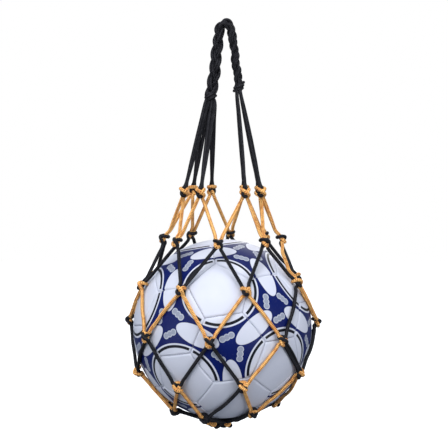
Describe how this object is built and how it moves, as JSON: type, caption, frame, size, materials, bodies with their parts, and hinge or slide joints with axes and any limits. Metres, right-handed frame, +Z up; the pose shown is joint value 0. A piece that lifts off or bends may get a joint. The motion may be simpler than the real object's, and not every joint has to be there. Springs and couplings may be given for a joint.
{
  "type": "mesh ball bag",
  "caption": "Hand-knotted two-colour cord net with a plaited hanging handle, carrying one inflated football.",
  "frame": {"origin": "where the hook bears, at the inside of the handle loop's top", "axes": "+Z up, +X to the right seen from the front, front towards -Y"},
  "size_m": [0.236, 0.2363, 0.4992],
  "materials": {
    "black_cord": "matte",
    "orange_cord": "matte",
    "ball_cover": "satin",
    "bladder_rubber": "matte",
    "valve_rubber": "matte"
  },
  "bodies": {
    "handle": {"plait_bundle_1": "black_cord", "plait_bundle_2": "black_cord", "plait_bundle_3": "black_cord", "left_tie": "black_cord", "right_tie": "black_cord"},
    "hangers": {"hanger_left_1": "black_cord", "hanger_left_2": "black_cord", "hanger_left_3": "black_cord", "hanger_left_4": "black_cord", "hanger_right_1": "black_cord", "hanger_right_2": "black_cord", "hanger_right_3": "black_cord", "hanger_right_4": "black_cord"},
    "net": {"net_row_1": "orange_cord", "net_row_2": "black_cord", "net_row_3": "orange_cord", "net_row_4": "black_cord", "net_row_5": "orange_cord", "net_row_6": "black_cord", "gather_knot": "black_cord"},
    "ball": {"panel_pentagon_1": "ball_cover", "panel_pentagon_2": "ball_cover", "panel_pentagon_3": "ball_cover", "panel_pentagon_4": "ball_cover", "panel_pentagon_5": "ball_cover", "panel_pentagon_6": "ball_cover", "panel_pentagon_7": "ball_cover", "panel_pentagon_8": "ball_cover", "panel_pentagon_9": "ball_cover", "panel_pentagon_10": "ball_cover", "panel_pentagon_11": "ball_cover", "panel_pentagon_12": "ball_cover", "panel_hexagon_1": "ball_cover", "panel_hexagon_2": "ball_cover", "panel_hexagon_3": "ball_cover", "panel_hexagon_4": "ball_cover", "panel_hexagon_5": "ball_cover", "panel_hexagon_6": "ball_cover", "panel_hexagon_7": "ball_cover", "panel_hexagon_8": "ball_cover", "panel_hexagon_9": "ball_cover", "panel_hexagon_10": "ball_cover", "panel_hexagon_11": "ball_cover", "panel_hexagon_12": "ball_cover", "panel_hexagon_13": "ball_cover", "panel_hexagon_14": "ball_cover", "panel_hexagon_15": "ball_cover", "panel_hexagon_16": "ball_cover", "panel_hexagon_17": "ball_cover", "panel_hexagon_18": "ball_cover", "panel_hexagon_19": "ball_cover", "panel_hexagon_20": "ball_cover", "ball_bladder": "bladder_rubber", "ball_valve": "valve_rubber"}
  },
  "joints": [
    {"name": "handle_fold", "type": "hinge", "parent": "handle", "child": "hangers", "pos_m": [-0.0014, 0, -0.0965], "axis": [1, 0, 0], "range_deg": [-90, 90], "deforming": ["hanger_left_1", "hanger_left_2", "hanger_left_3", "hanger_left_4", "hanger_right_1", "hanger_right_2", "hanger_right_3", "hanger_right_4"]},
    {"name": "mouth_fold", "type": "hinge", "parent": "hangers", "child": "net", "pos_m": [-0.0037, 0, -0.22515], "axis": [1, 0, 0], "range_deg": [-45, 45], "deforming": ["hanger_left_1", "hanger_left_2", "hanger_left_3", "hanger_left_4", "hanger_right_1", "hanger_right_2", "hanger_right_3", "hanger_right_4"]},
    {"name": "ball_turn", "type": "hinge", "parent": "net", "child": "ball", "pos_m": [-0.0037, 0, -0.3634], "axis": [0, 0, 1], "continuous": true}
  ]
}
